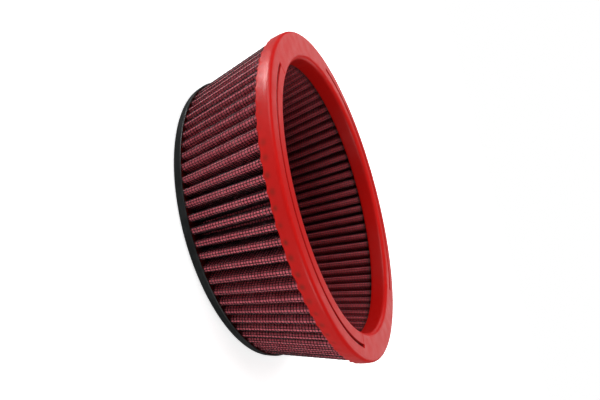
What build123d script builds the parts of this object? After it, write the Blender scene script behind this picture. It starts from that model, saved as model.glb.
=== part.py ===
"""Pleated cotton-gauze air filter for a motorcycle.

A conical pleated pack stands in a shallow pressed end cap and carries a moulded
sealing flange round its open, large end. Millimetres, +Z up along the filter's axis.
The origin is the centre of the end cap's flat underside.
"""

import os
from math import acos, atan2, cos, hypot, radians, sin, tan

from build123d import *

# ---------------------------------------------------------------- driving dimensions
FILTER_HEIGHT = 57.5  # underside of the end cap to the sealing face
CONE_ANGLE = 13.2  # half angle of the pleated cone, degrees

# Sealing flange, a soft polyurethane moulding
FLANGE_RADIUS = 90.0
FLANGE_EDGE_FILLET = 1.6
BORE_RADIUS = 75.2
BORE_EDGE_FILLET = 2.4
SKIRT_DEPTH = 7.6  # outer band, measured down from the sealing face
BORE_DEPTH = 9.8  # inner wall, measured down from the sealing face
CHANNEL_DEPTH = 7.0  # floor of the channel that the pleats stand in
LIP_THICKNESS = 1.1
LIP_TAPER = 0.5  # the inner lip is this much thicker at the channel floor than at its edge
CHANNEL_CLEARANCE = 0.2  # between the outer folds and the channel wall
GROOVE_RADIUS = 82.8
GROOVE_WIDTH = 1.8
GROOVE_DEPTH = 1.5
LAND_DROP = 0.12  # the land inside each groove lies this far below the face
GROOVE_ARC = 117.0  # each of the two grooves spans this many degrees
GROOVE_CENTRE = -84.0  # direction of the first groove's middle, degrees from +X
CUT_MARGIN = 1.0  # the land's cut starts this far inside the bore

# Pleated pack
PLEAT_COUNT = 79
FIRST_PLEAT = -90.56  # direction of one outer fold, degrees from +X
FOLD_TOP_RADIUS = 88.4  # outer folds at the top of the pack
PLEAT_DEPTH = 11.2
OUTER_FOLD_TOP = 1.92  # half width of an outer fold at the top and at the bottom
OUTER_FOLD_BOTTOM = 1.68
INNER_FOLD_TOP = 2.2  # half width of an inner fold at the top and at the bottom
INNER_FOLD_BOTTOM = 2.0
SCREEN_THICKNESS = 0.3
PLY_THICKNESS = 0.2
PLY_COUNT = 4
PLY_GAP = 0.02
SEAM_GAP = 0.3  # between the two cut ends of the folded strip
SEAM_WIDTH = 3.2
SEAM_THICKNESS = 0.3
SEAM_PLACE = 0.5  # share of the way along the first pleat's wall

# End cap, a pressed pan
CAP_RIM_HEIGHT = 5.4
CAP_RIM_RADIUS = 78.8
CAP_SHEET = 0.7
CAP_CORNER = 3.0
DISH_RADIUS = 50.0  # outer radius of the raised middle of the pan
DISH_RISE = 2.4
DISH_FILLET = 1.2

# Potting compound in the end cap
POTTING_TOP = 4.5
POTTING_INNER_RADIUS = 61.5
POTTING_SLOPE = 3.0  # how far the compound's free edge leans back over its height
FIT_GAP = 0.02

# ---------------------------------------------------------------- derived dimensions
CHANNEL_FLOOR = FILTER_HEIGHT - CHANNEL_DEPTH
PACK_TOP = CHANNEL_FLOOR - FIT_GAP
PACK_BOTTOM = POTTING_TOP + FIT_GAP
FOLD_BOTTOM_RADIUS = FOLD_TOP_RADIUS - (PACK_TOP - PACK_BOTTOM) * tan(radians(CONE_ANGLE))
HALF_PITCH = 180.0 / PLEAT_COUNT
PACK_THICKNESS = 2 * SCREEN_THICKNESS + PLY_COUNT * PLY_THICKNESS + (PLY_COUNT + 1) * PLY_GAP
SKIRT_END = FILTER_HEIGHT - SKIRT_DEPTH
BORE_END = FILTER_HEIGHT - BORE_DEPTH
FLARE = tan(radians(CONE_ANGLE))
CAP_FOOT_RADIUS = CAP_RIM_RADIUS - CAP_RIM_HEIGHT * FLARE
CAP_WALL = CAP_SHEET / cos(radians(CONE_ANGLE))
DISH_OFFSET = 0.4 * CAP_SHEET
LAND_WIDTH = GROOVE_RADIUS - BORE_RADIUS + CUT_MARGIN
CHANNEL_RADIUS = FOLD_TOP_RADIUS + CHANNEL_CLEARANCE
POTTING_DROP = CAP_RIM_HEIGHT - POTTING_TOP


def polar(radius, degrees):
    """Point at a distance from the axis and a direction from +X."""
    return (radius * cos(radians(degrees)), radius * sin(radians(degrees)))


class PleatSection:
    """One level of the folded strip.

    depth is the distance in from the outermost surface, so 0 is the face of the
    outer screen and PACK_THICKNESS is the face of the inner screen.
    """

    def __init__(self, fold_radius, outer_half_width, inner_half_width):
        self.outer_centre = fold_radius - outer_half_width
        self.outer_half_width = outer_half_width
        self.inner_centre = fold_radius - PLEAT_DEPTH + inner_half_width
        self.inner_half_width = inner_half_width

    def fold(self, depth):
        """Fold radii and the wall's two tangent points, with the outer fold on +X."""
        outer = self.outer_half_width - depth
        inner = self.inner_half_width - PACK_THICKNESS + depth
        inner_x, inner_y = polar(self.inner_centre, HALF_PITCH)
        run = hypot(inner_x - self.outer_centre, inner_y)
        heading = atan2(inner_y, inner_x - self.outer_centre)
        normal = heading - acos((outer + inner) / run)
        wall_start = (self.outer_centre + outer * cos(normal), outer * sin(normal))
        wall_end = (inner_x - inner * cos(normal), inner_y - inner * sin(normal))
        return outer, inner, wall_start, wall_end

    def wall_point(self, depth, share):
        """Point on the first pleat's wall, a share of the way from outer to inner fold."""
        _, _, start, end = self.fold(depth)
        x = start[0] + share * (end[0] - start[0])
        y = start[1] + share * (end[1] - start[1])
        return turned((x, y), FIRST_PLEAT)

    def wall_length(self, depth):
        """Length of the straight wall between an outer and an inner fold."""
        _, _, start, end = self.fold(depth)
        return hypot(end[0] - start[0], end[1] - start[1])

    def path(self, depth, start_point, end_point):
        """Edges of the folded line once round, from start_point to end_point."""
        outer, inner, start, end = self.fold(depth)
        edges = []
        place = start_point
        for pleat in range(PLEAT_COUNT):
            here = FIRST_PLEAT + 2 * pleat * HALF_PITCH
            following = here + 2 * HALF_PITCH
            valley = polar(self.inner_centre - inner, here + HALF_PITCH)
            crest = polar(self.outer_centre + outer, following)
            next_start = turned((start[0], -start[1]), following)
            next_end = turned((end[0], -end[1]), following)
            edges.append(Line(place, turned(end, here)))
            edges.append(ThreePointArc(turned(end, here), valley, next_end))
            edges.append(Line(next_end, next_start))
            edges.append(ThreePointArc(next_start, crest, turned(start, following)))
            place = turned(start, following)
        edges.append(Line(place, end_point))
        return edges

    def sheet_outline(self, near_depth, far_depth):
        """Closed outline of a sheet between two depths, cut where its ends meet."""
        near_cut = SEAM_GAP / 2 / self.wall_length(near_depth)
        far_cut = SEAM_GAP / 2 / self.wall_length(far_depth)
        near_start = self.wall_point(near_depth, SEAM_PLACE + near_cut)
        near_end = self.wall_point(near_depth, SEAM_PLACE - near_cut)
        far_start = self.wall_point(far_depth, SEAM_PLACE + far_cut)
        far_end = self.wall_point(far_depth, SEAM_PLACE - far_cut)
        ends = [Line(near_end, far_end), Line(far_start, near_start)]
        near_path = self.path(near_depth, near_start, near_end)
        return near_path + self.path(far_depth, far_start, far_end) + ends


def turned(point, degrees):
    """A point turned about the axis."""
    x, y = point
    c, s = cos(radians(degrees)), sin(radians(degrees))
    return (x * c - y * s, x * s + y * c)


TOP_SECTION = PleatSection(FOLD_TOP_RADIUS, OUTER_FOLD_TOP, INNER_FOLD_TOP)
BOTTOM_SECTION = PleatSection(FOLD_BOTTOM_RADIUS, OUTER_FOLD_BOTTOM, INNER_FOLD_BOTTOM)
PACK_LEVELS = ((PACK_BOTTOM, BOTTOM_SECTION), (PACK_TOP, TOP_SECTION))


def folded_sheet(label, near_depth, far_depth):
    """A folded sheet between two depths of the pack."""
    outlines = [section.sheet_outline(near_depth, far_depth) for _, section in PACK_LEVELS]
    with BuildPart() as sheet:
        for (level, _), outline in zip(PACK_LEVELS, outlines):
            with BuildSketch(Plane.XY.offset(level)):
                with BuildLine():
                    add(outline)
                make_face()
        loft(ruled=True, clean=False)
    sheet.part.label = label
    return sheet


os.makedirs("parts", exist_ok=True)

# ---------------------------------------------------------------- sealing flange
with BuildPart() as sealing_flange:
    # Section of the ring: a face, an outer band, a channel for the pleats, a thin inner lip
    with BuildSketch(Plane.XZ) as ring_section:
        with BuildLine():
            Polyline(
                (BORE_RADIUS, FILTER_HEIGHT),
                (FLANGE_RADIUS, FILTER_HEIGHT),
                (FLANGE_RADIUS, SKIRT_END),
                (CHANNEL_RADIUS, SKIRT_END),
                (CHANNEL_RADIUS, CHANNEL_FLOOR),
                (BORE_RADIUS + LIP_THICKNESS + LIP_TAPER, CHANNEL_FLOOR),
                (BORE_RADIUS + LIP_THICKNESS, BORE_END),
                (BORE_RADIUS, BORE_END),
                close=True,
            )
        make_face()
        face_corners = ring_section.vertices().group_by(Axis.Y)[-1].sort_by(Axis.X)
        fillet(face_corners[-1], FLANGE_EDGE_FILLET)
        face_corners = ring_section.vertices().group_by(Axis.Y)[-1].sort_by(Axis.X)
        fillet(face_corners[0], BORE_EDGE_FILLET)
    revolve(axis=Axis.Z)

    # Two curved grooves in the face, each with a slightly lowered land inside it
    for turn in (0, 180):
        start_plane = Plane.XZ.rotated((0, 0, GROOVE_CENTRE - GROOVE_ARC / 2 + turn))
        with BuildSketch(start_plane):
            with Locations((GROOVE_RADIUS, FILTER_HEIGHT)):
                Rectangle(GROOVE_WIDTH, 2 * GROOVE_DEPTH)
            with Locations((GROOVE_RADIUS - LAND_WIDTH / 2, FILTER_HEIGHT)):
                Rectangle(LAND_WIDTH, 2 * LAND_DROP)
        revolve(axis=Axis.Z, revolution_arc=GROOVE_ARC, mode=Mode.SUBTRACT)
sealing_flange.part.label = "sealing_flange"
export_step(sealing_flange.part, "parts/sealing_flange.step")

# ---------------------------------------------------------------- pleated pack
outer_screen = folded_sheet("outer_screen", 0, SCREEN_THICKNESS)
export_step(outer_screen.part, "parts/outer_screen.step")

for ply in range(PLY_COUNT):
    ply_depth = SCREEN_THICKNESS + PLY_GAP + ply * (PLY_THICKNESS + PLY_GAP)
    gauze_ply = folded_sheet(f"gauze_ply_{ply + 1}", ply_depth, ply_depth + PLY_THICKNESS)
    export_step(gauze_ply.part, f"parts/gauze_ply_{ply + 1}.step")

inner_screen = folded_sheet("inner_screen", PACK_THICKNESS - SCREEN_THICKNESS, PACK_THICKNESS)
export_step(inner_screen.part, "parts/inner_screen.step")

# Strip bonded over the joint of the folded strip's two ends, on the clean-air side
with BuildPart() as seam_strip:
    for level, section in PACK_LEVELS:
        half_share = SEAM_WIDTH / 2 / section.wall_length(PACK_THICKNESS)
        near_face = PACK_THICKNESS + PLY_GAP
        far_face = near_face + SEAM_THICKNESS
        with BuildSketch(Plane.XY.offset(level)):
            with BuildLine():
                Polyline(
                    section.wall_point(near_face, SEAM_PLACE - half_share),
                    section.wall_point(near_face, SEAM_PLACE + half_share),
                    section.wall_point(far_face, SEAM_PLACE + half_share),
                    section.wall_point(far_face, SEAM_PLACE - half_share),
                    close=True,
                )
            make_face()
    loft(ruled=True)
seam_strip.part.label = "seam_strip"
export_step(seam_strip.part, "parts/seam_strip.step")

# ---------------------------------------------------------------- end cap
with BuildPart() as end_cap:
    # Section of the pan: flared rim, rounded corner, flat foot, raised middle
    with BuildSketch(Plane.XZ) as cap_section:
        with BuildLine():
            Polyline(
                (0, DISH_RISE),
                (DISH_RADIUS - DISH_RISE, DISH_RISE),
                (DISH_RADIUS, 0),
                (CAP_FOOT_RADIUS, 0),
                (CAP_RIM_RADIUS, CAP_RIM_HEIGHT),
                (CAP_RIM_RADIUS - CAP_WALL, CAP_RIM_HEIGHT),
                (CAP_FOOT_RADIUS + CAP_SHEET * FLARE - CAP_WALL, CAP_SHEET),
                (DISH_RADIUS + DISH_OFFSET, CAP_SHEET),
                (DISH_RADIUS - DISH_RISE + DISH_OFFSET, DISH_RISE + CAP_SHEET),
                (0, DISH_RISE + CAP_SHEET),
                close=True,
            )
        make_face()
        corners = cap_section.vertices()
        dish = corners.filter_by_position(Axis.X, DISH_RADIUS - 2 * DISH_RISE, DISH_RADIUS + DISH_RISE)
        fillet(dish, DISH_FILLET)
        foot_from = CAP_FOOT_RADIUS - CAP_CORNER
        foot = cap_section.vertices().filter_by_position(Axis.X, foot_from, CAP_RIM_RADIUS)
        inner_foot = foot.filter_by_position(Axis.Y, CAP_SHEET / 2, CAP_SHEET * 2)
        fillet(inner_foot, CAP_CORNER - CAP_SHEET)
        foot = cap_section.vertices().filter_by_position(Axis.X, foot_from, CAP_RIM_RADIUS)
        fillet(foot.sort_by(Axis.Y)[0], CAP_CORNER)
    revolve(axis=Axis.Z)
end_cap.part.label = "end_cap"
export_step(end_cap.part, "parts/end_cap.step")

# ---------------------------------------------------------------- potting in the end cap
with BuildPart() as cap_potting:
    with BuildSketch(Plane.XZ):
        with BuildLine():
            Polyline(
                (POTTING_INNER_RADIUS, CAP_SHEET + FIT_GAP),
                (CAP_FOOT_RADIUS - CAP_CORNER, CAP_SHEET + FIT_GAP),
                (CAP_FOOT_RADIUS - CAP_SHEET - FIT_GAP, CAP_CORNER),
                (CAP_RIM_RADIUS - CAP_WALL - POTTING_DROP * FLARE - FIT_GAP, POTTING_TOP),
                (POTTING_INNER_RADIUS + POTTING_SLOPE, POTTING_TOP),
                close=True,
            )
        make_face()
    revolve(axis=Axis.Z)
cap_potting.part.label = "cap_potting"
export_step(cap_potting.part, "parts/cap_potting.step")
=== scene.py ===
"""Looks of a conical pleated air filter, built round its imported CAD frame.

Everything is in metres in the CAD frame: +Z runs from the end cap to the sealing face.
"""

import math

import bpy
import numpy as np
from mathutils import Matrix, Vector


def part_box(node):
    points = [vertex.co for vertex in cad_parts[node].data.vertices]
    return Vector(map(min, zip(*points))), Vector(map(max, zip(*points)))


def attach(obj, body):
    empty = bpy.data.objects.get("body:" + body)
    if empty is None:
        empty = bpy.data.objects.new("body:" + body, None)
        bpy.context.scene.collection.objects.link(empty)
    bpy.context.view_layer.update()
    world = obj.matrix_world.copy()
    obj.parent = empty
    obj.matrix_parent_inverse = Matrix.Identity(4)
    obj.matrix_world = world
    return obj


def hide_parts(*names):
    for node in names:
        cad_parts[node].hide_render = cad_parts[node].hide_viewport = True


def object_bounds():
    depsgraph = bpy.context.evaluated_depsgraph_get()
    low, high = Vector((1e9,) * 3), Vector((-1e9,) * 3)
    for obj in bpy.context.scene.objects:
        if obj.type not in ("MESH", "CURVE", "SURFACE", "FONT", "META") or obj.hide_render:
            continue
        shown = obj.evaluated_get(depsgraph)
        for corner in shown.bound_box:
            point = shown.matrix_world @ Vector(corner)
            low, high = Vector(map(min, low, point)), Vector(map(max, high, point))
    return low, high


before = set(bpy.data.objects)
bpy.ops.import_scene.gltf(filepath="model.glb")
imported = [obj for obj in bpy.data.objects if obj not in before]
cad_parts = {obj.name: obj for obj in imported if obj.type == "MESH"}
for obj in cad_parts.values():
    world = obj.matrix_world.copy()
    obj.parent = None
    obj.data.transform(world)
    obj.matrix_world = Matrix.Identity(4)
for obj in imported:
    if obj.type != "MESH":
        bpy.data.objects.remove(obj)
cad_low, cad_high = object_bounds()

# ---------------------------------------------------------------- sizes, in millimetres
MM = 0.001
flange_low, flange_high = (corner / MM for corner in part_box("sealing_flange"))
pack_low, pack_high = (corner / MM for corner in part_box("outer_screen"))
cap_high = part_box("end_cap")[1] / MM
potting_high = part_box("cap_potting")[1] / MM

FLANGE_RADIUS = flange_high.x
FACE_Z = flange_high.z
BORE_END = flange_low.z
SKIRT_DEPTH = 7.6
SKIRT_END = FACE_Z - SKIRT_DEPTH
BORE_RADIUS = 75.2
GROOVE_RADIUS = 82.8
GROOVE_WIDTH = 1.8
GROOVE_DEPTH = 1.5
LAND_DROP = 0.12
GROOVE_ARC = 117.0
GROOVE_CENTRE = -84.0
BAND_CREASE = 3.6  # from here down the outer band leans in
BAND_DRAFT = 0.55
EDGE_FILLET = 1.6
BORE_FILLET = 2.4
LOBE_WIDTH = 0.2  # share of a pitch
LOBE_DROP = 0.62
LOBE_LIFT = 0.25  # how far the skirt's edge draws back between the lobes
LOBE_SWELL = 0.05
MARK_DEPTH = 5.4  # the marks' middle, below the face
MARK_DENT = 0.10
MARK_CENTRE = -78.0  # direction in which the marks are strongest

CAP_RIM_RADIUS = cap_high.x
CAP_RIM_Z = cap_high.z
CAP_SHEET = 0.7
CAP_OUTLINE_STEP = 6.0
CONE_ANGLE = math.radians(13.2)
CONE_FLARE = math.tan(CONE_ANGLE)
DISH_RADIUS = 50.0
DISH_RISE = 2.4
POTTING_TOP = potting_high.z
POTTING_INNER = 62.0
POTTING_CLIMB = 0.75  # against the folds, fading over the reach below
POTTING_REACH = 0.55

PLEAT_COUNT = 79
FIRST_PLEAT = math.radians(-90.56)
PLEAT_DEPTH = 11.2
PACK_HEIGHT = pack_high.z - pack_low.z
TOP_FOLD_RADIUS = 88.4
FOLD_RADIUS = (TOP_FOLD_RADIUS - PACK_HEIGHT * CONE_FLARE, TOP_FOLD_RADIUS)  # bottom, top
OUTER_FOLD = (1.68, 1.92)
INNER_FOLD = (2.0, 2.2)
FOLD_LEAN = 0.0022  # spread of the folds' unevenness, in radians
FOLD_TWIST = 0.0016
SCREEN_THICKNESS = 0.3
PLY_THICKNESS = 0.2
PLY_GAP = 0.02
PLY_COUNT = 4
SEAM_WIDTH = 3.2
SEAM_THICKNESS = 0.3
LIP_SHADE_REACH = 2.2  # how far the painted shade beneath the flange's lip reaches down the pleats' inner side
PACK_THICKNESS = 2 * SCREEN_THICKNESS + PLY_COUNT * PLY_THICKNESS + (PLY_COUNT + 1) * PLY_GAP
HALF_PITCH = math.pi / PLEAT_COUNT

WIRE_RADIUS = 0.185
INNER_WIRE_RADIUS = 0.15
WIRE_WEAVE = 0.06  # how far a wire goes over and under the cloth's middle
WIRE_SIDES = 4
STEPS_PER_WIRE = 2  # points of a round-running wire for each wire it crosses
WIRES_ROUND = 1184  # wires that run along the pleats, counted once round
WIRES_UP = 29  # wires that run round the pack
SECTORS = 8  # dense pieces are cut into this many sectors
GAUZE_SWELL = 0.13  # how far the gauze swells between the wires
GAUZE_CUTS = 2  # mesh steps of the swelling gauze between two wires
GAUZE_PITCH = 0.36

rng = np.random.default_rng(11)


# ---------------------------------------------------------------- pleat geometry
def fold_shape(t, depth):
    """Radii, centres and tangent direction of one pleat at height share t and depth."""
    fold_radius = FOLD_RADIUS[0] + (FOLD_RADIUS[1] - FOLD_RADIUS[0]) * t
    outer_half = OUTER_FOLD[0] + (OUTER_FOLD[1] - OUTER_FOLD[0]) * t
    inner_half = INNER_FOLD[0] + (INNER_FOLD[1] - INNER_FOLD[0]) * t
    outer_centre = fold_radius - outer_half
    inner_centre = fold_radius - PLEAT_DEPTH + inner_half
    outer = outer_half - depth
    inner = inner_half - PACK_THICKNESS + depth
    centre_x = inner_centre * math.cos(HALF_PITCH)
    centre_y = inner_centre * math.sin(HALF_PITCH)
    run = np.hypot(centre_x - outer_centre, centre_y)
    heading = np.arctan2(centre_y, centre_x - outer_centre)
    normal = heading - np.arccos((outer + inner) / run)
    return outer_centre, centre_x, centre_y, outer, inner, normal


def path_shares(depth):
    """Shares of half a pleat's length taken by its outer arc and by its wall."""
    outer_centre, centre_x, centre_y, outer, inner, normal = fold_shape(0.5, depth)
    start = np.array([outer_centre + outer * np.cos(normal), outer * np.sin(normal)])
    end = np.array([centre_x - inner * np.cos(normal), centre_y - inner * np.sin(normal)])
    lengths = [outer * normal, np.linalg.norm(end - start), inner * (normal - HALF_PITCH)]
    total = sum(lengths)
    return lengths[0] / total, lengths[1] / total, 2 * total


# Small unevenness of the folds, none at the first pleat where the seam strip sits
fold_lean = rng.normal(0.0, FOLD_LEAN, 2 * PLEAT_COUNT)
fold_twist = rng.normal(0.0, FOLD_TWIST, 2 * PLEAT_COUNT)
fold_lean[:2] = fold_twist[:2] = 0.0
fold_lean[-1] = fold_twist[-1] = 0.0

# The marks over the fold tips differ a little from pleat to pleat
mark_shift = rng.normal(0.0, 0.22, (PLEAT_COUNT, 2))  # mm round the band and along it
mark_size = rng.uniform(0.85, 1.15, PLEAT_COUNT)
mark_strength = rng.uniform(0.5, 1.0, PLEAT_COUNT)


def unevenness(u, t):
    """Angle by which a point at pleat position u is off its even place."""
    place = (u * 2) % (2 * PLEAT_COUNT)
    low = np.floor(place).astype(int) % (2 * PLEAT_COUNT)
    high = (low + 1) % (2 * PLEAT_COUNT)
    share = place - np.floor(place)
    share = share * share * (3 - 2 * share)
    lean = fold_lean[low] * (1 - share) + fold_lean[high] * share
    twist = fold_twist[low] * (1 - share) + fold_twist[high] * share
    return lean + twist * (2 * t - 1)


def pleat_points(u, t, depth, shares):
    """Points of the folded sheet: u counts pleats round, t is 0 at the cap and 1 at the flange."""
    u, t, depth = np.broadcast_arrays(u, t, depth)
    pleat = np.floor(u)
    part = u - pleat
    mirrored = part > 0.5
    half = np.where(mirrored, 1 - part, part) * 2
    outer_centre, centre_x, centre_y, outer, inner, normal = fold_shape(t, depth)
    arc_share, wall_share = shares[0], shares[1]
    arc_angle = normal * np.clip(half / arc_share, 0, 1)
    arc_x = outer_centre + outer * np.cos(arc_angle)
    arc_y = outer * np.sin(arc_angle)
    along = np.clip((half - arc_share) / wall_share, 0, 1)
    end_x = centre_x - inner * np.cos(normal)
    end_y = centre_y - inner * np.sin(normal)
    wall_x = arc_x + (end_x - arc_x) * along
    wall_y = arc_y + (end_y - arc_y) * along
    turn = np.clip((half - arc_share - wall_share) / (1 - arc_share - wall_share), 0, 1)
    valley_angle = normal + (HALF_PITCH - normal) * turn
    valley_x = centre_x - inner * np.cos(valley_angle)
    valley_y = centre_y - inner * np.sin(valley_angle)
    x = np.where(half <= arc_share, arc_x, np.where(turn > 0, valley_x, wall_x))
    y = np.where(half <= arc_share, arc_y, np.where(turn > 0, valley_y, wall_y))
    y = np.where(mirrored, -y, y)
    angle = FIRST_PLEAT + 2 * HALF_PITCH * (pleat + mirrored) + unevenness(u, t)
    z = pack_low.z + PACK_HEIGHT * t
    cos_a, sin_a = np.cos(angle), np.sin(angle)
    return np.stack([x * cos_a - y * sin_a, x * sin_a + y * cos_a, z + 0 * x], axis=-1)


# ---------------------------------------------------------------- mesh helpers
def make_mesh(name, points, faces, stands_for):
    """A smooth mesh from points in millimetres and faces, in place of one CAD node."""
    points = np.asarray(points, float).reshape(-1, 3) * MM
    mesh = bpy.data.meshes.new(name)
    faces = np.asarray(faces, np.int32)
    sides = faces.shape[1]
    mesh.vertices.add(len(points))
    mesh.vertices.foreach_set("co", points.astype(np.float32).ravel())
    mesh.loops.add(faces.size)
    mesh.loops.foreach_set("vertex_index", faces.ravel())
    mesh.polygons.add(len(faces))
    mesh.polygons.foreach_set("loop_start", np.arange(0, faces.size, sides, dtype=np.int32))
    mesh.update(calc_edges=True)
    mesh.validate()
    mesh.polygons.foreach_set("use_smooth", np.full(len(mesh.polygons), True))
    piece = bpy.data.objects.new(name, mesh)
    bpy.context.scene.collection.objects.link(piece)
    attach(piece, "root")
    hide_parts(stands_for)
    return piece


def grid_faces(columns, rows, wrap_columns=False, wrap_rows=False, flip=False):
    """Quads of a grid whose point (i, j) is number i * rows + j."""
    i = np.arange(columns if wrap_columns else columns - 1)
    j = np.arange(rows if wrap_rows else rows - 1)
    i, j = np.meshgrid(i, j, indexing="ij")
    next_i, next_j = (i + 1) % columns, (j + 1) % rows
    quads = np.stack(
        [i * rows + j, next_i * rows + j, next_i * rows + next_j, i * rows + next_j], -1
    ).reshape(-1, 4)
    return quads[:, ::-1] if flip else quads


def add_uv(piece, uv_per_point):
    """A UV map, in millimetres, from one pair of values per point."""
    layer = piece.data.uv_layers.new(name="UVMap")
    index = np.zeros(len(piece.data.loops), np.int32)
    piece.data.loops.foreach_get("vertex_index", index)
    layer.data.foreach_set("uv", np.asarray(uv_per_point, np.float32)[index].ravel())


def add_value(piece, name, values):
    """A float attribute on the points."""
    attribute = piece.data.attributes.new(name, "FLOAT", "POINT")
    attribute.data.foreach_set("value", np.asarray(values, np.float32).ravel())


def rounded(corners):
    """Outline through corners (r, z, radius), each corner with a radius made an arc."""
    points = []
    count = len(corners)
    for index, (r, z, radius) in enumerate(corners):
        here = Vector((r, z))
        if radius == 0:
            points.append((r, z))
            continue
        before = (Vector(corners[index - 1][:2]) - here).normalized()
        after = (Vector(corners[(index + 1) % count][:2]) - here).normalized()
        half = math.acos(max(-1.0, min(1.0, before.dot(after)))) / 2
        cut = radius / math.tan(half)
        centre = here + (before + after).normalized() * radius / math.sin(half)
        first = here + before * cut - centre
        last = here + after * cut - centre
        sweep = first.angle_signed(last)
        steps = max(6, math.ceil(3 * radius))
        for step in range(steps + 1):
            angle = -sweep * step / steps
            x = first.x * math.cos(angle) - first.y * math.sin(angle)
            y = first.x * math.sin(angle) + first.y * math.cos(angle)
            points.append((centre.x + x, centre.y + y))
    return np.array(points)


def subdivided(outline, longest):
    """The closed outline with long stretches cut to at most a given length."""
    points = []
    for here, there in zip(outline, np.roll(outline, -1, axis=0)):
        parts = max(1, math.ceil(np.linalg.norm(there - here) / longest))
        for part in range(parts):
            points.append(here + (there - here) * part / parts)
    return np.array(points)


def ring_points(r, z, angles):
    """Points of a ring: r and z are (columns, rows), angles is (columns,)."""
    cos_a, sin_a = np.cos(angles)[:, None], np.sin(angles)[:, None]
    return np.stack([r * cos_a, r * sin_a, z + 0 * r], axis=-1)


def smoothstep(low, high, value):
    share = np.clip((value - low) / (high - low), 0, 1)
    return share * share * (3 - 2 * share)


# ---------------------------------------------------------------- materials
class Shader:
    """A node material with a Principled surface and short helpers for its nodes."""

    def __init__(self, name):
        self.material = bpy.data.materials.new(name)
        self.material.use_nodes = True
        self.nodes = self.material.node_tree.nodes
        self.links = self.material.node_tree.links
        self.surface = self.nodes["Principled BSDF"]

    def feed(self, socket, value):
        """Link another node's output to the socket, or set the socket's own value."""
        if isinstance(value, bpy.types.NodeSocket):
            self.links.new(value, socket)
        elif isinstance(value, tuple) and socket.type == "RGBA":
            socket.default_value = (*value, 1.0)
        else:
            socket.default_value = value

    def node(self, kind, **inputs):
        made = self.nodes.new(kind)
        for key, value in inputs.items():
            self.feed(made.inputs[key.replace("_", " ")], value)
        return made

    def coordinates(self, kind="Object"):
        return self.node("ShaderNodeTexCoord").outputs[kind]

    def noise(self, vector, scale, detail=3.0, roughness=0.55):
        made = self.node(
            "ShaderNodeTexNoise", Vector=vector, Scale=scale, Detail=detail, Roughness=roughness
        )
        return made.outputs["Fac"]

    def remap(self, value, low, high, to_low, to_high):
        made = self.node(
            "ShaderNodeMapRange",
            Value=value,
            From_Min=low,
            From_Max=high,
            To_Min=to_low,
            To_Max=to_high,
        )
        return made.outputs["Result"]

    def math(self, operation, a, b=0.0):
        made = self.nodes.new("ShaderNodeMath")
        made.operation = operation
        for socket, value in zip(made.inputs, (a, b)):
            self.feed(socket, value)
        return made.outputs["Value"]

    def mix(self, factor, a, b):
        made = self.nodes.new("ShaderNodeMix")
        made.data_type = "RGBA"
        # A mix node has inputs for every kind of value; 0, 6 and 7 are the colour ones
        for number, value in ((0, factor), (6, a), (7, b)):
            self.feed(made.inputs[number], value)
        return made.outputs[2]

    def value(self, name):
        made = self.nodes.new("ShaderNodeAttribute")
        made.attribute_name = name
        return made.outputs["Fac"]

    def bump(self, height, strength, distance, normal=None):
        made = self.node("ShaderNodeBump", Strength=strength, Distance=distance, Height=height)
        if normal is not None:
            self.links.new(normal, made.inputs["Normal"])
        return made.outputs["Normal"]

    def set(self, **inputs):
        for key, value in inputs.items():
            self.feed(self.surface.inputs[key.replace("_", " ")], value)


def polyurethane(name, colour, deep_colour, marks=False):
    """Soft moulded polyurethane: even colour, faint mottling, satin skin; with marks it also takes
    the dark marks over the fold tips and painted shade in the grooves.
    """
    shader = Shader(name)
    place = shader.coordinates()
    cloud = shader.noise(place, 45.0, 4.0)
    grain = shader.noise(place, 1800.0, 3.0, 0.6)
    ripple = shader.noise(place, 160.0, 2.0)
    tint = shader.mix(shader.remap(cloud, 0.35, 0.65, 0.0, 0.45), colour, deep_colour)
    if marks:
        # Painted shade: the colour is darkened in the grooves, where their walls and floor would
        # lie in shade.
        groove_painted_shade = shader.math("MULTIPLY", shader.value("groove_painted_shade"), 0.85)
        tip = shader.math("MULTIPLY", shader.value("tip_mark"), 0.85)
        tint = shader.mix(groove_painted_shade, tint, (0.09, 0.001, 0.001))
        tint = shader.mix(tip, tint, (0.11, 0.014, 0.006))
    rough = shader.remap(ripple, 0.3, 0.7, 0.34, 0.44)
    fine = shader.bump(grain, 0.10, 0.0002)
    shader.set(
        Base_Color=tint,
        Roughness=rough,
        Specular_IOR_Level=0.18,
        Subsurface_Weight=0.05,
        Subsurface_Radius=(0.0012, 0.0002, 0.0001),
        Subsurface_Scale=0.5,
        Normal=shader.bump(ripple, 0.06, 0.0006, fine),
    )
    return shader.material


def lip_shade_band(shader, tint):
    """The tint darkened near the top of the pleats' inner side: painted shade beneath the flange's
    lip, with an uneven edge.
    """
    split = shader.node("ShaderNodeSeparateXYZ")
    shader.links.new(shader.coordinates(), split.inputs[0])
    edge = shader.noise(shader.coordinates(), 260.0, 2.0)
    height = shader.math("ADD", split.outputs["Z"], shader.math("MULTIPLY", edge, 0.0012))
    lip_shade_share = shader.remap(height, (BORE_END - LIP_SHADE_REACH) * MM, BORE_END * MM, 0.0, 0.85)
    return shader.mix(lip_shade_share, tint, (0.018, 0.002, 0.002))


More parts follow.
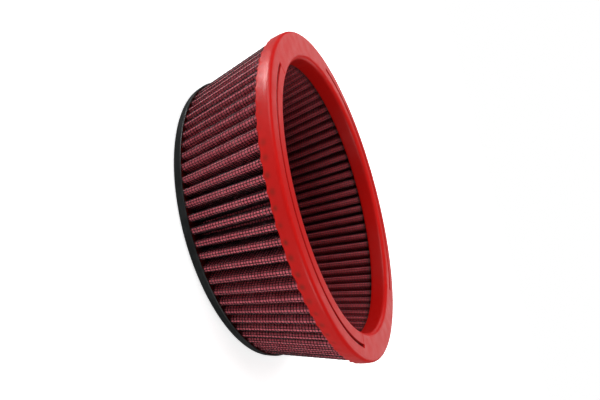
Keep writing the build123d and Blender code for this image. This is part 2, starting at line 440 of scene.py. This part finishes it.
def oiled_gauze(name, thread, hollow, lip_shaded=False):
    """Woven cotton gauze drenched in red filter oil; the UV map is in millimetres."""
    shader = Shader(name)
    uv = shader.coordinates("UV")
    split = shader.node("ShaderNodeSeparateXYZ")
    shader.links.new(uv, split.inputs[0])
    wobble = shader.noise(uv, 0.9, 2.0)
    pitch = 2 * math.pi / GAUZE_PITCH
    across = shader.math("ADD", shader.math("MULTIPLY", split.outputs["X"], pitch), wobble)
    along = shader.math("ADD", shader.math("MULTIPLY", split.outputs["Y"], pitch), wobble)
    weave = shader.math("MULTIPLY", shader.math("SINE", across), shader.math("SINE", along))
    fibre = shader.noise(uv, 14.0, 3.0, 0.7)
    oil = shader.noise(uv, 0.16, 3.0)
    threads = shader.math("MULTIPLY", weave, 0.5)
    height = shader.math("ADD", threads, shader.math("MULTIPLY", fibre, 0.6))
    mottle = shader.remap(shader.math("ADD", weave, fibre), -0.5, 1.5, 0.0, 1.0)
    tint = shader.mix(mottle, hollow, thread)
    tint = shader.mix(shader.remap(oil, 0.4, 0.6, 0.0, 0.35), tint, hollow)
    # Painted shade beneath the flange's lip, near the top of the pleats' inner side.
    if lip_shaded:
        tint = lip_shade_band(shader, tint)
    shader.set(
        Base_Color=tint,
        Roughness=shader.remap(oil, 0.35, 0.65, 0.5, 0.68),
        Specular_IOR_Level=0.45,
        Sheen_Weight=0.25,
        Sheen_Roughness=0.45,
        Sheen_Tint=(0.9, 0.35, 0.45),
        Normal=shader.bump(height, 0.5, 0.0001),
    )
    return shader.material


def wire_coat(name, coat, worn_coat, oil, lip_shaded=False):
    """Dark coated wire with small bright worn spots, wetted with red oil in places."""
    shader = Shader(name)
    place = shader.coordinates()
    worn = shader.noise(place, 900.0, 3.0, 0.6)
    oily = shader.noise(place, 120.0, 2.0)
    tint = shader.mix(shader.remap(worn, 0.52, 0.68, 0.0, 1.0), coat, worn_coat)
    tint = shader.mix(shader.remap(oily, 0.4, 0.62, 0.0, 0.55), tint, oil)
    # Painted shade beneath the flange's lip, near the top of the pleats' inner side.
    if lip_shaded:
        tint = lip_shade_band(shader, tint)
    shader.set(
        Base_Color=tint,
        Metallic=0.35,
        Roughness=shader.remap(worn, 0.3, 0.7, 0.5, 0.3),
        Specular_IOR_Level=0.55,
        Normal=shader.bump(worn, 0.2, 0.00005),
    )
    return shader.material


def black_coat(name):
    """Satin black coating on pressed sheet, fine texture and faint scuffs."""
    shader = Shader(name)
    place = shader.coordinates()
    grain = shader.noise(place, 2400.0, 3.0, 0.65)
    scuff = shader.noise(place, 70.0, 5.0, 0.7)
    scuffed = shader.remap(scuff, 0.45, 0.7, 0.0, 1.0)
    tint = shader.mix(scuffed, (0.0085, 0.0105, 0.0105), (0.022, 0.026, 0.026))
    shader.set(
        Base_Color=tint,
        Roughness=shader.remap(scuff, 0.35, 0.7, 0.36, 0.5),
        Specular_IOR_Level=0.5,
        Normal=shader.bump(grain, 0.22, 0.00012),
    )
    return shader.material


flange_red = polyurethane(
    "flange_polyurethane", (0.50, 0.0045, 0.003), (0.44, 0.0035, 0.0025), marks=True
)
potting_red = polyurethane("potting_polyurethane", (0.12, 0.005, 0.004), (0.06, 0.0025, 0.002))
adhesive_red = polyurethane("seam_adhesive", (0.20, 0.008, 0.008), (0.12, 0.004, 0.004))
gauze_outer = oiled_gauze("oiled_gauze_outer", (0.92, 0.20, 0.25), (0.38, 0.025, 0.045))
gauze_inner = oiled_gauze(
    "oiled_gauze_inner", (0.70, 0.068, 0.09), (0.26, 0.014, 0.024), lip_shaded=True
)
dark_wire = wire_coat(
    "screen_wire", (0.020, 0.016, 0.017), (0.17, 0.15, 0.15), (0.07, 0.006, 0.014)
)
oily_wire = wire_coat(
    "oily_wire", (0.060, 0.012, 0.016), (0.14, 0.060, 0.065), (0.14, 0.008, 0.016), lip_shaded=True
)
cap_black = black_coat("cap_black")


# ---------------------------------------------------------------- sealing flange
def flange_outline():
    """Section of the moulding before the grooves, lobes and marks are pressed in."""
    corners = [
        (BORE_RADIUS + 1.1, BORE_END, 0.35),
        (BORE_RADIUS, BORE_END, 0.6),
        (BORE_RADIUS, FACE_Z, BORE_FILLET),
        (FLANGE_RADIUS, FACE_Z, EDGE_FILLET),
        (FLANGE_RADIUS, FACE_Z - BAND_CREASE, 0),
        (FLANGE_RADIUS - BAND_DRAFT, SKIRT_END, 0.6),
        (FLANGE_RADIUS - 1.9, SKIRT_END, 0),
    ]
    outline = subdivided(rounded(corners), 1.9)
    on_band = (outline[:, 0] > FLANGE_RADIUS - 0.6) & (outline[:, 1] < FACE_Z - EDGE_FILLET - 0.1)
    on_band &= outline[:, 1] > SKIRT_END + 0.7
    first = int(np.argmax(on_band))
    levels = FACE_Z - np.concatenate([[2.2, 2.8, 3.3], np.arange(3.7, 6.7, 0.3), [6.75]])
    lean_top = FACE_Z - BAND_CREASE + 0.5
    fall = np.clip((lean_top - levels) / (lean_top - SKIRT_END), 0, 1)
    band = np.stack([FLANGE_RADIUS - BAND_DRAFT * fall**1.25, levels], axis=-1)
    outline = np.insert(outline[~on_band], first, band, axis=0)
    # Rows that hold the groove's two walls, the step to the land and the groove's floor
    wanted = [GROOVE_RADIUS - 0.2, GROOVE_RADIUS + 0.2]
    for side in (-1, 1):
        for step in (-0.16, -0.04, 0.04, 0.2):
            wanted.append(GROOVE_RADIUS + side * (GROOVE_WIDTH / 2 + step))
    on_face = np.abs(outline[:, 1] - FACE_Z) < 0.001
    near_groove = on_face & (np.abs(outline[:, 0] - GROOVE_RADIUS) < 1.3)
    first = int(np.argmax(near_groove))
    kept = outline[~near_groove]
    extra = np.array([(radius, FACE_Z) for radius in sorted(wanted)])
    return np.insert(kept, first, extra, axis=0)


def groove_share(angles):
    """1 where a groove runs, 0 on the two plain pads between the grooves."""
    share = np.zeros_like(angles)
    for turn in (0.0, 180.0):
        centre = math.radians(GROOVE_CENTRE + turn)
        off = np.abs((angles - centre + math.pi) % (2 * math.pi) - math.pi)
        half = math.radians(GROOVE_ARC / 2)
        share = np.maximum(share, 1 - smoothstep(half - 0.004, half + 0.004, off))
    return share


def build_flange():
    """The red moulding, with its grooves, its lobes and the marks over the fold tips."""
    outline = flange_outline()
    columns = PLEAT_COUNT * 15
    angles = FIRST_PLEAT + np.arange(columns) * 2 * math.pi / columns
    r = np.tile(outline[:, 0], (columns, 1))
    z = np.tile(outline[:, 1], (columns, 1))
    groove = groove_share(angles)[:, None]
    face = z > FACE_Z - 2.0
    half_width = GROOVE_WIDTH / 2
    off_groove = np.abs(r - GROOVE_RADIUS)
    inside_groove = 1 - smoothstep(half_width - 0.06, half_width + 0.04, off_groove)
    land = 1 - smoothstep(GROOVE_RADIUS - 0.1, GROOVE_RADIUS + 0.1, r)
    land = land * smoothstep(1.6, 0.9, FACE_Z - z)
    sunk = face * groove * np.maximum(GROOVE_DEPTH * inside_groove, LAND_DROP * land)
    z = z - sunk
    # Lobes: the moulding creeps a little further down over each outer fold
    pitches = (angles - FIRST_PLEAT) / (2 * HALF_PITCH)
    place = pitches % 1.0
    place = np.minimum(place, 1 - place)[:, None]
    lobe = np.exp(-((place / LOBE_WIDTH) ** 2))
    strength = 0.75 + 0.35 * np.sin(angles * 7 + 1.3) * np.sin(angles * 17)
    outer_edge = (r > FLANGE_RADIUS - 2.2) & (z < SKIRT_END + 3.0)
    drop = smoothstep(SKIRT_END + 3.0, SKIRT_END, z)
    z = z - outer_edge * drop * (LOBE_DROP * lobe * strength[:, None] - LOBE_LIFT)
    # Marks where the fold tips sit close under the skin
    nearest = np.rint(pitches)
    fold = nearest.astype(int) % PLEAT_COUNT
    across = (pitches - nearest) * 2 * HALF_PITCH * FLANGE_RADIUS - mark_shift[fold, 0]
    along = z - (FACE_Z - MARK_DEPTH) - mark_shift[fold, 1][:, None]
    away = np.hypot(across[:, None] / 1.35, along / 1.15) / mark_size[fold][:, None]
    on_band = r > FLANGE_RADIUS - 0.9
    mark = np.exp(-(away ** 2.2)) * on_band * mark_strength[fold][:, None]
    facing = np.cos(angles - math.radians(MARK_CENTRE))
    visible = 0.22 + 0.78 * smoothstep(0.80, 0.93, facing)
    swell = on_band * LOBE_SWELL * lobe * smoothstep(5.0, 6.8, FACE_Z - z)
    r = r - MARK_DENT * mark * visible[:, None] + swell
    ring = make_mesh(
        "flange_moulding",
        ring_points(r, z, angles),
        grid_faces(columns, len(outline), True, True, flip=True),
        stands_for="sealing_flange",
    )
    add_value(ring, "tip_mark", mark * visible[:, None])
    # Painted shade for the grooves; the material darkens its colour by this value.
    add_value(ring, "groove_painted_shade", smoothstep(0.2, 1.2, sunk))
    ring.data.materials.append(flange_red)


# ---------------------------------------------------------------- end cap and potting
def build_cap():
    """The pressed pan round the small end, with a raised middle."""
    foot = CAP_RIM_RADIUS - CAP_RIM_Z * CONE_FLARE
    wall = CAP_SHEET / math.cos(CONE_ANGLE)
    corners = [
        (0.001, DISH_RISE, 0),
        (0.3, DISH_RISE, 0),
        (DISH_RADIUS - DISH_RISE, DISH_RISE, 1.2),
        (DISH_RADIUS, 0, 1.2),
        (foot, 0, 3.0),
        (CAP_RIM_RADIUS, CAP_RIM_Z, 0.3),
        (CAP_RIM_RADIUS - wall, CAP_RIM_Z, 0.3),
        (foot + CAP_SHEET * CONE_FLARE - wall, CAP_SHEET, 2.3),
        (DISH_RADIUS + 0.3, CAP_SHEET, 1.2),
        (DISH_RADIUS - DISH_RISE + 0.3, DISH_RISE + CAP_SHEET, 1.2),
        (0.3, DISH_RISE + CAP_SHEET, 0),
        (0.001, DISH_RISE + CAP_SHEET, 0),
    ]
    outline = subdivided(rounded(corners), CAP_OUTLINE_STEP)
    columns = 480
    angles = np.arange(columns) * 2 * math.pi / columns
    r = np.tile(outline[:, 0], (columns, 1))
    z = np.tile(outline[:, 1], (columns, 1))
    cap = make_mesh(
        "cap_shell",
        ring_points(r, z, angles),
        grid_faces(columns, len(outline), True, True),
        stands_for="end_cap",
    )
    cap.data.materials.append(cap_black)


def fold_distance(angles, radii, t):
    """Distance from points of one pitch to the nearer face of the folded pack."""
    u = np.linspace(-0.6, 0.6, 481)
    x = radii[None, :] * np.cos(angles[:, None] + FIRST_PLEAT)
    y = radii[None, :] * np.sin(angles[:, None] + FIRST_PLEAT)
    gaps = []
    for depth in (0.0, PACK_THICKNESS):
        face = pleat_points(u, t, depth, path_shares(depth))
        gap = np.hypot(x[..., None] - face[:, 0], y[..., None] - face[:, 1]).min(-1)
        gaps.append(gap)
    return np.minimum(*gaps)


def build_potting():
    """Potting that fills the cap's edge and climbs a little against the folds."""
    per_pitch = 14
    columns = PLEAT_COUNT * per_pitch
    pitch_angles = np.arange(per_pitch) * 2 * HALF_PITCH / per_pitch
    pitch_angles = np.where(pitch_angles > HALF_PITCH, pitch_angles - 2 * HALF_PITCH, pitch_angles)
    wall_radius = CAP_RIM_RADIUS - CAP_SHEET - 0.1 - (CAP_RIM_Z - POTTING_TOP) * CONE_FLARE
    top_radii = np.linspace(wall_radius, POTTING_INNER, 34)
    gap = fold_distance(pitch_angles, top_radii, 0.0)
    climb = POTTING_CLIMB * np.exp(-gap / POTTING_REACH)
    rim_climb = 0.45 * np.exp(-(wall_radius - top_radii) / 0.5)[None, :]
    fall = 3.2 * smoothstep(66.0, 61.5, top_radii)[None, :]
    top = POTTING_TOP - 0.25 + climb + rim_climb - fall
    top = np.tile(top, (PLEAT_COUNT, 1))
    under_radii = np.array([61.8, 66.0, 72.0, wall_radius - 1.2, wall_radius - 0.2])
    floor = CAP_SHEET + 0.03
    under_z = np.array([floor, floor, floor, CAP_SHEET + 0.5, 2.6])
    r = np.hstack([np.tile(top_radii, (columns, 1)), np.tile(under_radii, (columns, 1))])
    z = np.hstack([top, np.tile(under_z, (columns, 1))])
    angles = FIRST_PLEAT + np.arange(columns) * 2 * math.pi / columns
    potting = make_mesh(
        "potting_ring",
        ring_points(r, z, angles),
        grid_faces(columns, r.shape[1], True, True),
        stands_for="cap_potting",
    )
    potting.data.materials.append(potting_red)


# ---------------------------------------------------------------- wire screens
def tube_mesh(paths, radius):
    """Points and quads of tubes along paths of shape (count, points, 3)."""
    count, length, _ = paths.shape
    along = np.gradient(paths, axis=1)
    along /= np.linalg.norm(along, axis=-1, keepdims=True)
    up = np.zeros_like(along)
    up[..., 2] = 1.0
    side = np.cross(along, up)
    weak = np.linalg.norm(side, axis=-1, keepdims=True) < 0.6
    outward = paths.copy()
    outward[..., 2] = 0.0
    outward = outward / np.linalg.norm(outward, axis=-1, keepdims=True)
    side = np.where(weak, np.cross(along, outward), side)
    side /= np.linalg.norm(side, axis=-1, keepdims=True)
    other = np.cross(along, side)
    turn = (np.arange(WIRE_SIDES) * 2 * math.pi / WIRE_SIDES)[:, None]
    offset = side[:, :, None, :] * np.cos(turn) + other[:, :, None, :] * np.sin(turn)
    points = paths[:, :, None, :] + radius * offset
    quads = grid_faces(length, WIRE_SIDES, False, True)
    quads = quads[None] + (np.arange(count) * length * WIRE_SIDES)[:, None, None]
    return points.reshape(-1, 3), quads.reshape(-1, 4)


def wire_height(row):
    """Height share of a round-running wire."""
    return (row + 0.5) / WIRES_UP


def build_screen(name, node, depth, wire_radius, material):
    """A woven screen folded with the pleats, in sectors; depth is the cloth's middle."""
    shares = path_shares(depth)
    rows = np.arange(WIRES_UP)
    for sector in range(SECTORS):
        first = sector * WIRES_ROUND // SECTORS
        last = (sector + 1) * WIRES_ROUND // SECTORS
        upright = np.arange(first, last)
        drift = 0.006 * np.sin(upright * 0.37)[:, None]
        heights = np.concatenate([[0.0], wire_height(rows), [1.0]])
        parity = (upright[:, None] + np.arange(-1, WIRES_UP + 1)[None, :]) % 2 * 2 - 1
        u = upright[:, None] * PLEAT_COUNT / WIRES_ROUND + drift * np.sin(heights * 5)[None, :]
        along = pleat_points(u, heights[None, :], depth + WIRE_WEAVE * parity, shares)
        steps = np.arange(first * STEPS_PER_WIRE, last * STEPS_PER_WIRE + 1)
        wave = np.cos(math.pi * steps[None, :] / STEPS_PER_WIRE + math.pi * rows[:, None])
        sag = 0.0025 * np.sin(steps[None, :] * 0.011 / STEPS_PER_WIRE * 7 + rows[:, None] * 1.7)
        level = wire_height(rows)[:, None] + sag
        place = steps[None, :] * PLEAT_COUNT / (WIRES_ROUND * STEPS_PER_WIRE)
        around = pleat_points(place, level, depth + WIRE_WEAVE * wave, shares)
        upright_points, upright_quads = tube_mesh(along, wire_radius)
        around_points, around_quads = tube_mesh(around, wire_radius)
        screen = make_mesh(
            f"{name}_{sector + 1}",
            np.vstack([upright_points, around_points]),
            np.vstack([upright_quads, around_quads + len(upright_points)]),
            stands_for=node,
        )
        screen.data.materials.append(material)


# ---------------------------------------------------------------- gauze plies
def build_ply(name, node, near, far, screen_depth, pillow, material):
    """One ply as a thin closed sheet; pillow is how far it swells between the wires."""
    shares = path_shares(screen_depth)
    length = shares[2] * PLEAT_COUNT
    across = WIRES_ROUND * GAUZE_CUTS if pillow else PLEAT_COUNT * 24
    rows = WIRES_UP * GAUZE_CUTS + 1 if pillow else 9
    step = across // SECTORS
    heights = np.linspace(0, 1, rows)
    swell_up = np.abs(np.sin(math.pi * (heights * WIRES_UP - 0.5)))
    parts = SECTORS if pillow else 1
    for part in range(parts):
        low = part * step if parts > 1 else 0
        high = (part + 1) * step if part < parts - 1 else across
        columns = np.arange(low, high + 1)
        u = columns * PLEAT_COUNT / across
        swell_round = np.abs(np.sin(math.pi * columns / GAUZE_CUTS))
        swell = pillow * (swell_round[:, None] ** 0.8) * (swell_up[None, :] ** 0.8)
        outside_depth = near - np.maximum(swell, 0)
        inside_depth = far - np.minimum(swell, 0)
        outside = pleat_points(u[:, None], heights[None, :], outside_depth, shares)
        inside = pleat_points(u[:, None], heights[None, :], inside_depth, shares)
        points = np.concatenate([outside, inside[:, ::-1]], axis=1)
        uv_round = np.tile((u * length / PLEAT_COUNT)[:, None], (1, 2 * rows))
        height_mm = heights * PACK_HEIGHT
        uv_up = np.tile(np.concatenate([height_mm, height_mm[::-1]])[None, :], (len(u), 1))
        label = f"{name}_{part + 1}" if parts > 1 else name
        ply = make_mesh(
            label,
            points,
            grid_faces(len(u), 2 * rows, False, True),
            stands_for=node,
        )
        add_uv(ply, np.stack([uv_round, uv_up], -1).reshape(-1, 2))
        ply.data.materials.append(material)


def build_pack():
    """The folded pack: a screen on each side of the gauze plies."""
    outer = SCREEN_THICKNESS / 2
    inner = PACK_THICKNESS - SCREEN_THICKNESS / 2
    build_screen("outer_screen_wires", "outer_screen", outer, WIRE_RADIUS, dark_wire)
    build_screen("inner_screen_wires", "inner_screen", inner, INNER_WIRE_RADIUS, oily_wire)
    near = SCREEN_THICKNESS + PLY_GAP
    for ply in range(1, PLY_COUNT + 1):
        # The first and the last ply follow the screen they touch and swell towards it
        screen_depth, pillow, material = near, 0.0, gauze_outer
        if ply == 1:
            screen_depth, pillow = outer, GAUZE_SWELL
        elif ply == PLY_COUNT:
            screen_depth, pillow, material = inner, -GAUZE_SWELL, gauze_inner
        far = near + PLY_THICKNESS
        build_ply(
            f"gauze_sheet_{ply}", f"gauze_ply_{ply}", near, far, screen_depth, pillow, material
        )
        near = far + PLY_GAP


def build_seam():
    """The bonded strip over the joint of the folded strip, domed and a little uneven."""
    arc_share, wall_share, length = path_shares(PACK_THICKNESS)
    heights = np.linspace(0, 1, 161)
    across = np.linspace(-1, 1, 17)[:, None]
    end = np.sqrt(np.clip(np.minimum(heights, 1 - heights) / 0.004, 0.001, 1))
    half_width = SEAM_WIDTH / 2 + 0.09 * np.sin(heights * 31 + 0.6)
    half_width = half_width + 0.06 * np.sin(heights * 83 + 2.0)
    crown = (SEAM_THICKNESS + 0.04 * np.sin(heights * 47 + 1.0)) * end
    place = 0.5 + across * half_width * end / (wall_share * length / 2)
    u = (arc_share + place * wall_share) / 2
    dome = crown * np.sqrt(1 - across**2)
    shares = (arc_share, wall_share)
    upper = pleat_points(u, heights, PACK_THICKNESS + PLY_GAP + dome, shares)
    under = pleat_points(u, heights, PACK_THICKNESS - PLY_GAP + 0 * dome, shares)
    points = np.concatenate([upper, under[::-1]], axis=0).swapaxes(0, 1)
    seam = make_mesh(
        "seam_bead",
        points,
        grid_faces(len(heights), 2 * len(across), False, True),
        stands_for="seam_strip",
    )
    seam.data.materials.append(adhesive_red)


# ---------------------------------------------------------------- stage, light, camera
def build_stage():
    """A plain pale floor and plain soft studio light."""
    floor = bpy.data.objects.new("floor", bpy.data.meshes.new("floor"))
    size, level = 6.0, -0.0002  # metres; just under the cap, so the two don't touch
    corners = [(-size, -size), (size, -size), (size, size), (-size, size)]
    floor.data.from_pydata([(x, y, level) for x, y in corners], [], [(0, 1, 2, 3)])
    bpy.context.scene.collection.objects.link(floor)
    shader = Shader("pale_floor")
    ray = shader.nodes.new("ShaderNodeLightPath").outputs
    camera_ray, glossy_ray = ray["Is Camera Ray"], ray["Is Glossy Ray"]
    place = shader.coordinates()
    matt = shader.mix(shader.noise(place, 6.0, 4.0), (0.80, 0.80, 0.80), (0.84, 0.84, 0.84))
    reach = shader.node("ShaderNodeVectorMath")
    reach.operation = "LENGTH"
    shader.links.new(place, reach.inputs[0])
    glow = shader.remap(reach.outputs["Value"], 0.15, 0.7, 0.70, 0.92)
    shader.set(
        Base_Color=shader.mix(glossy_ray, matt, (0.26, 0.26, 0.26)),
        Roughness=0.9,
        Specular_IOR_Level=0.1,
        Emission_Color=(1.0, 1.0, 1.0),
        Emission_Strength=shader.math("MULTIPLY", camera_ray, glow),
    )
    floor.data.materials.append(shader.material)

    world = bpy.data.worlds.new("studio")
    world.use_nodes = True
    nodes, links = world.node_tree.nodes, world.node_tree.links
    seen = nodes.new("ShaderNodeBackground")
    seen.inputs["Color"].default_value = (1, 1, 1, 1)
    seen.inputs["Strength"].default_value = 1.0
    fill = nodes["Background"]
    fill.inputs["Color"].default_value = (1, 1, 1, 1)
    path = nodes.new("ShaderNodeLightPath")
    strength = nodes.new("ShaderNodeMapRange")
    strength.inputs["To Min"].default_value = 0.27
    strength.inputs["To Max"].default_value = 0.14
    links.new(path.outputs["Is Glossy Ray"], strength.inputs["Value"])
    links.new(strength.outputs["Result"], fill.inputs["Strength"])
    blend = nodes.new("ShaderNodeMixShader")
    links.new(path.outputs["Is Camera Ray"], blend.inputs[0])
    links.new(fill.outputs[0], blend.inputs[1])
    links.new(seen.outputs[0], blend.inputs[2])
    links.new(blend.outputs[0], nodes["World Output"].inputs["Surface"])
    bpy.context.scene.world = world


def area_light(name, direction, distance, size, watts, diffuse=True, glossy=True):
    """A square soft light that faces the object's centre."""
    light = bpy.data.lights.new(name, "AREA")
    light.shape = "SQUARE"
    light.size = size
    light.energy = watts
    lamp = bpy.data.objects.new(name, light)
    centre = (cad_low + cad_high) / 2
    away = Vector(direction).normalized()
    lamp.location = centre + away * distance
    lamp.rotation_mode = "QUATERNION"
    lamp.rotation_quaternion = (-away).to_track_quat("-Z", "Y")
    lamp.visible_diffuse, lamp.visible_glossy = diffuse, glossy
    bpy.context.scene.collection.objects.link(lamp)


def build_camera():
    """Camera that looks past the near rim into the open end, rolled so the axis lies across."""
    unit = 0.99 * FLANGE_RADIUS * MM
    distance, elevation, roll = 3.652 * unit, math.radians(14.68), math.radians(75.07)
    face_centre = Vector((0, 0, FACE_Z * MM))
    back = Vector((0, -math.cos(elevation), math.sin(elevation)))
    eye = face_centre + back * distance
    right = Vector((1, 0, 0))
    up = right.cross(-back)
    target = face_centre + (right * -0.0268 + up * -0.2669) * unit
    forward = (target - eye).normalized()
    right = forward.cross(Vector((0, 0, 1))).normalized()
    up = right.cross(forward)
    rolled_right = math.cos(roll) * right + math.sin(roll) * up
    rolled_up = -math.sin(roll) * right + math.cos(roll) * up
    data = bpy.data.cameras.new("camera")
    data.sensor_width = 36.0
    data.lens = 35.75
    data.clip_start, data.clip_end = 0.01, 50.0
    camera = bpy.data.objects.new("camera", data)
    turn = Matrix((rolled_right, rolled_up, -forward)).transposed()
    camera.matrix_world = Matrix.Translation(eye) @ turn.to_4x4()
    bpy.context.scene.collection.objects.link(camera)
    bpy.context.scene.camera = camera


build_flange()
build_cap()
build_potting()
build_pack()
build_seam()

build_stage()
area_light("key", (-0.90, -0.35, 0.30), 0.9, 0.6, 5.2)
area_light("low_fill", (0.75, -0.68, 0.08), 1.0, 0.5, 5.6)
area_light("overhead", (-0.10, 0.25, 1.0), 1.0, 0.7, 8.0, glossy=False)
area_light("sheen", (-0.170, -0.055, -0.017), 0.182, 0.03, 0.12, diffuse=False)
area_light("rim_top", (-0.36, 0.90, 0.27), 0.9, 0.35, 0.40)
area_light("rim_bottom", (0.36, 0.90, 0.27), 0.9, 0.35, 0.40)
build_camera()
bpy.context.scene.view_settings.view_transform = "Standard"
